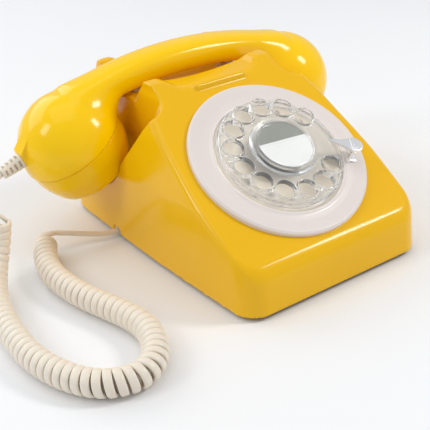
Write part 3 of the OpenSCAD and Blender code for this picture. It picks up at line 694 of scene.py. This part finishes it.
# ---------------------------------------------------------------- handset
CUP_Z = 61.8
CUP_TILT = math.radians(30)
SEAM = 0.5
CAP_DEPTH = 24.4
ARCH_R = 250
ARCH_Z = 97.8
RELIEF_TILT = math.radians(20)
RELIEF_START = (-112.9, HANDSET_Y, 60.2)
RELIEF_LENGTH = 14
SHELL = 2.6


def cup_matrix(side, h=0.0):
    """Cup coordinates to the row frame: origin at the dome's centre, -Z out of its face."""
    t = side * CUP_TILT
    m = np.eye(4)
    m[:3, 0] = (math.cos(t), 0, -math.sin(t))
    m[:3, 2] = (math.sin(t), 0, math.cos(t))
    m[:3, 3] = np.array([side * CUP_X, HANDSET_Y, CUP_Z]) + h * m[:3, 2]
    return m


def make_handset():
    step = 0.8
    lo = (-119, HANDSET_Y - 36, 40)
    x, y, z = grid(lo, (116, HANDSET_Y + 36, 112), step)
    u = y - HANDSET_Y
    v = np.hypot(x, z - (ARCH_Z - ARCH_R)) - ARCH_R
    n = 2.5
    section = (np.abs(u) / 13.5) ** n + (np.abs(v) / 9.2) ** n
    handle = even_out((section ** (1 / n) - 1) * 10.0, step)
    handle = round_max(handle, np.abs(x) - 80, 3)
    # the fillet at each neck dies away before the handle's buried end
    fillet = np.interp(np.abs(x), [58, 82], [12, 5.0]).astype(np.float32)
    solid = handle
    seam_cut = None
    for side in (-1, 1):
        m = cup_matrix(side)
        rx, rz = x - m[0, 3], z - m[2, 3]
        cx = rx * m[0, 0] + rz * m[2, 0]
        cz = rx * m[0, 2] + rz * m[2, 2]
        dome = np.sqrt(cx * cx + u * u + cz * cz) - CUP_R
        below = np.where(np.abs(x - side * CUP_X) < 40, SEAM + 0.18 - cz, -50)
        solid = round_min(solid, dome, fillet)
        seam_cut = below if seam_cut is None else np.maximum(seam_cut, below)
    # wedge that the strain relief comes out of, drawn in (up, out)
    wx, wz = x - RELIEF_START[0], z - RELIEF_START[2]
    out = -wx * math.cos(RELIEF_TILT) - wz * math.sin(RELIEF_TILT)
    up = -wx * math.sin(RELIEF_TILT) + wz * math.cos(RELIEF_TILT)
    wedge = outline_distance([(-5.6, -9), (-5.6, 0.4), (5.7, 0.4), (13, -9.6)], up[:, 0], out[:, 0])
    wedge = round_max(wedge.astype(np.float32)[:, None, :], np.abs(u) - 5.5, 0.3)
    shape = round_min(solid, wedge, 0.3)
    hollow = np.maximum(shape, -(solid + SHELL))
    hollow = round_max(hollow, seam_cut, 0.3)
    add_skin("handset_shell", hollow, lo, step, "yellow_plastic", "handset", ("handset_body",),
             adaptivity=0.01)


def revolve(outline, r, heights, step, reach):
    """Distance to an outline in (radius, height), turned round the Z axis."""
    radii = np.arange(0, reach, step)
    rr, hh = np.meshgrid(radii, heights, indexing="ij")
    table = outline_distance(outline, rr, hh)
    at = np.clip(r / step, 0, len(radii) - 1.001)
    i = at.astype(int)
    f = (at - i)[:, :, None]
    return (1 - f) * table[i] + f * table[i + 1]


def make_cap(name, side, rings, replaces):
    """Screw cap with its perforated face, rings of holes out from the middle one."""
    step = 0.5
    lo = (-34, -34, SEAM - CAP_DEPTH - 1)
    x, y, z = grid(lo, (34, 34, SEAM + 3), step)
    inner = CUP_R - 2.8
    outer = [(CUP_R - 0.5, 0), (CUP_R - 1, -10.2), (CUP_R - 4, -19.5), (CUP_R - 6, -23.2)]
    outline = rounded([(24, 1.8), (inner, 1.8), (inner, -0.02)] + outer +
                      [(CUP_R - 9, -CAP_DEPTH), (-5, -CAP_DEPTH), (-5, 2 - CAP_DEPTH),
                       (CUP_R - 9.5, 2 - CAP_DEPTH), (CUP_R - 7, -19)],
                      [0, 0, 0, 0.4, 16, 5, 1.5, 2, 0, 0, 1, 2])
    r = np.hypot(x, y)[:, :, 0]
    field = revolve(outline, r, z.ravel() - SEAM, 0.25, 49)
    holes = np.full(r.shape, 1e9)
    spots = [(0.0, 0.0)]
    for k in range(1, rings + 1):
        turns = [math.radians(60 * j / k) for j in range(6 * k)]
        spots += [(5 * k * math.cos(a), 5 * k * math.sin(a)) for a in turns]
    for hx, hy in spots:
        holes = np.minimum(holes, np.hypot(x[:, :, 0] - hx, y[:, :, 0] - hy) - 1.3)
    field = round_max(field, -np.maximum(holes[:, :, None], z - (SEAM - CAP_DEPTH + 3)), 0.4)
    add_skin(name, field, lo, step, "yellow_plastic", "handset", replaces, adaptivity=0.02,
             matrix=cup_matrix(side))


def make_relief():
    """Tapered sleeve with four rows of slots."""
    m = np.eye(4)
    m[:3, 2] = (-math.cos(RELIEF_TILT), 0, -math.sin(RELIEF_TILT))
    m[:3, 0] = (-math.sin(RELIEF_TILT), 0, math.cos(RELIEF_TILT))
    m[:3, 1] = np.cross(m[:3, 2], m[:3, 0])
    m[:3, 3] = RELIEF_START
    step = 0.2
    lo = (-6, -6, -0.6)
    x, y, z = grid(lo, (6, 6, RELIEF_LENGTH + 1.4), step)
    r = np.hypot(x, y)
    outer = np.interp(z, [0, RELIEF_LENGTH + 0.4], [4.9, 3.7]).astype(np.float32)
    body = round_max(r - outer, np.maximum(0.4 - z, z - RELIEF_LENGTH - 0.4), 0.5)
    pitch = 3.1
    nearest = np.clip(np.round((z - 2.8) / pitch), 0, 3)
    slot = np.abs(z - 2.8 - pitch * nearest) - 0.62
    # rows face up, down and to both sides, with a solid ridge between them
    ridge = np.abs(np.abs(x) - np.abs(y))
    cuts = np.maximum(np.maximum(slot, 1.3 - ridge), 2.3 - r)
    body = round_max(body, -cuts, 0.2)
    body = np.maximum(body, 1.75 - r)
    add_skin("cord_relief", body, lo, step, "cord_rubber", "handset", ("strain_relief",), 0.02, m)


# ---------------------------------------------------------------- dial
HOLES = 12
HOLE_RING = 29.4
HOLE_R = 5.6
WHEEL_R = 37.4
WHEEL_TOP = 10
SURROUND_R = 53.2
PLATE_Z = 2.0


def hole_angle(k):
    return 30 + 26 * k


def make_surround():
    outline = rounded([(38.6, -3), (45.9, -3), (45.9, 0.02), (SURROUND_R, 0.02), (SURROUND_R, 2.4),
                       (SURROUND_R - 1.4, 3.3), (44.5, 2.55), (41, 2.7), (39.8, 3.25), (38.6, 3.0)],
                      [0, 0, 0, 0, 0.8, 0.9, 8, 4, 0.5, 0.4], 5)
    add_lathe("dial_surround", outline, "ivory_plastic", "base", ("bezel",), dial_matrix(), 200)


def make_number_plate():
    outline = rounded([(8, -0.4), (38.5, -0.4), (38.5, 2.6), (37.9, 2.6), (37.4, PLATE_Z), (8, PLATE_Z)],
                      [0, 0, 0.2, 0.3, 0.8, 0.2], 4)
    add_lathe("number_plate", outline, "number_ring_plastic", "base", ("number_ring",), dial_matrix(), 200)


def make_numerals():
    """Numbers on the plate, one by the outer edge of each hole."""
    marks = ["1", "2", "3", "4", "5", "6", "7", "8", "9", "0", "*", "#"]
    for k, mark in enumerate(marks):
        curve = bpy.data.curves.new("numeral", "FONT")
        curve.body = mark
        curve.size = 3.6
        curve.extrude = 0.03
        curve.align_x, curve.align_y = "CENTER", "CENTER"
        flat = bpy.data.objects.new("numeral", curve)
        SCENE.collection.objects.link(flat)
        mesh = bpy.data.meshes.new_from_object(flat.evaluated_get(bpy.context.evaluated_depsgraph_get()))
        bpy.data.objects.remove(flat)
        points = np.array([v.co for v in mesh.vertices])
        faces = [tuple(p.vertices) for p in mesh.polygons]
        bpy.data.meshes.remove(mesh)
        a = math.radians(hole_angle(k))
        points += (33.2 * math.cos(a), 33.2 * math.sin(a), PLATE_Z + 0.04)
        numeral = add_mesh(f"numeral_{k + 1}", points, faces, "black_plastic", "base", matrix=dial_matrix(),
                           material=NUMERAL_INK)
        sharpen(numeral, 30)


def make_wheel():
    step = 0.4
    lo = (-39, -39, WHEEL_TOP - 7.2)
    x, y, z = grid(lo, (39, 39, WHEEL_TOP + 1.6), step)
    skirt = WHEEL_TOP - 6.4
    outline = rounded([(-20, WHEEL_TOP - 3), (35.6, WHEEL_TOP - 3), (35.6, skirt), (WHEEL_R, skirt),
                       (WHEEL_R, WHEEL_TOP - 3.4), (33.4, WHEEL_TOP), (-20, WHEEL_TOP)],
                      [0, 0.5, 0.5, 0.6, 2.5, 2.5, 0])
    r = np.hypot(x, y)[:, :, 0]
    field = revolve(outline, r, z.ravel(), 0.2, 58)
    near = np.full(r.shape, 1e9)
    for k in range(HOLES):
        a = math.radians(hole_angle(k))
        near = np.minimum(near, np.hypot(x - HOLE_RING * math.cos(a), y - HOLE_RING * math.sin(a))[:, :, 0])
    rim = round_max((np.abs(near - HOLE_R - 0.55) - 0.55)[:, :, None], np.abs(z - WHEEL_TOP + 0.7) - 1.4, 0.5)
    field = round_min(field, rim, 0.35)
    field = round_max(field, (HOLE_R - near)[:, :, None], 0.45)
    field = np.maximum(field, (3.0 - r)[:, :, None])
    add_skin("clear_wheel", field, lo, step, "clear_acrylic", "dial", ("finger_wheel",), 0.01, dial_matrix())


def make_label():
    top = WHEEL_TOP
    card = rounded([(0, top + 0.6), (16.5, top + 0.6), (16.5, top + 1.1), (0, top + 1.1)],
                   [0, 0.1, 0.1, 0], 3)
    add_lathe("label_disc", card, "printed_card", "dial", ("label_card",), dial_matrix(), 128)
    cap = rounded([(0, top + 1.15), (16.5, top + 1.15), (16.5, top + 2.6), (15.6, top + 3.3),
                   (12.5, top + 3.55), (0, top + 3.6)], [0, 0.1, 0.6, 1.2, 8, 0], 5)
    add_lathe("label_window", cap, "clear_acrylic", "dial", ("label_cap",), dial_matrix(), 160)
    ring = rounded([(0, top + 0.02), (20.2, top + 0.02), (20, top + 1.6), (19.2, top + 2.8), (18, top + 3.5),
                    (17.2, top + 3.4), (16.65, top + 2.6), (16.65, top + 0.55), (0, top + 0.55)],
                   [0, 0.2, 1.5, 1, 0.7, 0.5, 0.5, 0.2, 0], 4)
    add_lathe("label_rim", ring, "clear_acrylic", "dial", ("label_ring",), dial_matrix(), 160)


def make_stop():
    """Pointed blade over the wheel, on a riser and a foot."""
    step = 0.22
    lo = (22, -8, 1.6)
    x, y, z = grid(lo, (49, 8, 15.6), step)
    wide = [(42.5 + 5 * math.cos(t), 5 * math.sin(t)) for t in np.radians(np.linspace(-120, 90, 14))]
    blade = rounded([(25, 5.3), (34, 0.4)] + wide + [(35, 3.6)], [0.5, 5] + [0] * 14 + [6])
    xx, yy = np.meshgrid(x.ravel(), y.ravel(), indexing="ij")
    flat = outline_distance(blade, xx, yy).astype(np.float32)[:, :, None]
    lift = WHEEL_TOP + 3.3 + 0.05 * (x - 40)
    top = round_max(flat, np.abs(z - lift) - 0.85, 0.6)
    riser = np.maximum(np.maximum(np.abs(x - 41.6) - 0.9, np.abs(y) - 3.8), np.abs(z - 8.4) - 5.6)
    foot = np.maximum(np.maximum(np.abs(x - 43.8) - 3.1, np.abs(y) - 3.8), np.abs(z - 3.35) - 0.5)
    field = round_min(round_min(top, riser, 1.0), foot, 0.6)
    add_skin("stop_blade", field, lo, step, "chrome", "base", ("finger_stop",), 0.02, dial_matrix(0, -22))


# ---------------------------------------------------------------- CAD nodes that are shown
SHOWN = {
    "black_plastic": ["base_plate", "hook_switch", "terminal_block"],
    "black_rubber": ["feet"],
    "zinc_steel": ["case_screws", "dial_frame", "dial_back_plate", "dial_screws", "dial_spindle",
                   "dial_spring", "governor_shaft", "hook_bar", "hook_springs", "hook_bracket",
                   "board_screws", "ringer_bracket", "ringer_yoke", "clapper", "gong_posts"],
    "brass": ["main_gear", "governor_weights", "gong_screws"],
    "nylon": ["pulse_cam", "hook_plungers"],
    "phenolic": ["pulse_contacts"],
    "circuit_board": ["circuit_board"],
    "winding": ["induction_coil", "ringer_coils"],
    "aluminium_can": ["capacitor", "governor_cup", "receiver_capsule", "transmitter_capsule"],
    "gong_steel": ["gongs"],
    "cord_rubber": ["line_cord_gland", "handset_cord_grommet"],
}


def finish_cad_nodes():
    for slot, names in SHOWN.items():
        for name in names:
            node = frame["nodes"][name]
            node.data.materials.clear()
            node.data.materials.append(MATERIALS[slot])


# ---------------------------------------------------------------- floor and light
def make_floor():
    bpy.ops.mesh.primitive_grid_add(x_subdivisions=8, y_subdivisions=8, size=12)
    floor = bpy.context.object
    floor.name = "floor"
    floor.data.materials.append(floor_material())


def add_light(name, direction, distance, size, power, colour=(1, 1, 1)):
    data = bpy.data.lights.new(name, "AREA")
    data.shape = "RECTANGLE"
    data.size, data.size_y = size
    data.energy = power
    data.color = colour
    light = bpy.data.objects.new(name, data)
    way = Vector(direction).normalized()
    light.location = Vector((0, 0, 0.06)) + way * distance
    light.rotation_mode = "QUATERNION"
    light.rotation_quaternion = way.to_track_quat("Z", "Y")
    SCENE.collection.objects.link(light)


def make_light():
    world = bpy.data.worlds.new("studio")
    SCENE.world = world
    world.use_nodes = True
    world.node_tree.nodes["Background"].inputs["Color"].default_value = (0.93, 0.96, 1.0, 1)
    world.node_tree.nodes["Background"].inputs["Strength"].default_value = 0.58
    add_light("key", (0.60, -0.46, 0.65), 1.1, (0.20, 0.30), 4.2, (1.0, 0.985, 0.96))
    add_light("left", (-0.80, 0.13, 0.59), 1.3, (0.30, 0.45), 2.6)
    add_light("back", (-0.35, 0.85, 0.55), 1.6, (1.6, 0.9), 8)
    add_light("top", (-0.2, 0.1, 1.0), 1.8, (1.4, 1.4), 5)


# ---------------------------------------------------------------- build
make_camera()
make_cord()
make_case()
make_handset()
make_cap("mouth_cover", -1, 2, ("mouth_cap",))
make_cap("ear_cover", 1, 1, ("ear_cap",))
make_relief()
make_surround()
make_number_plate()
make_numerals()
make_wheel()
make_label()
make_stop()
finish_cad_nodes()
make_floor()
make_light()
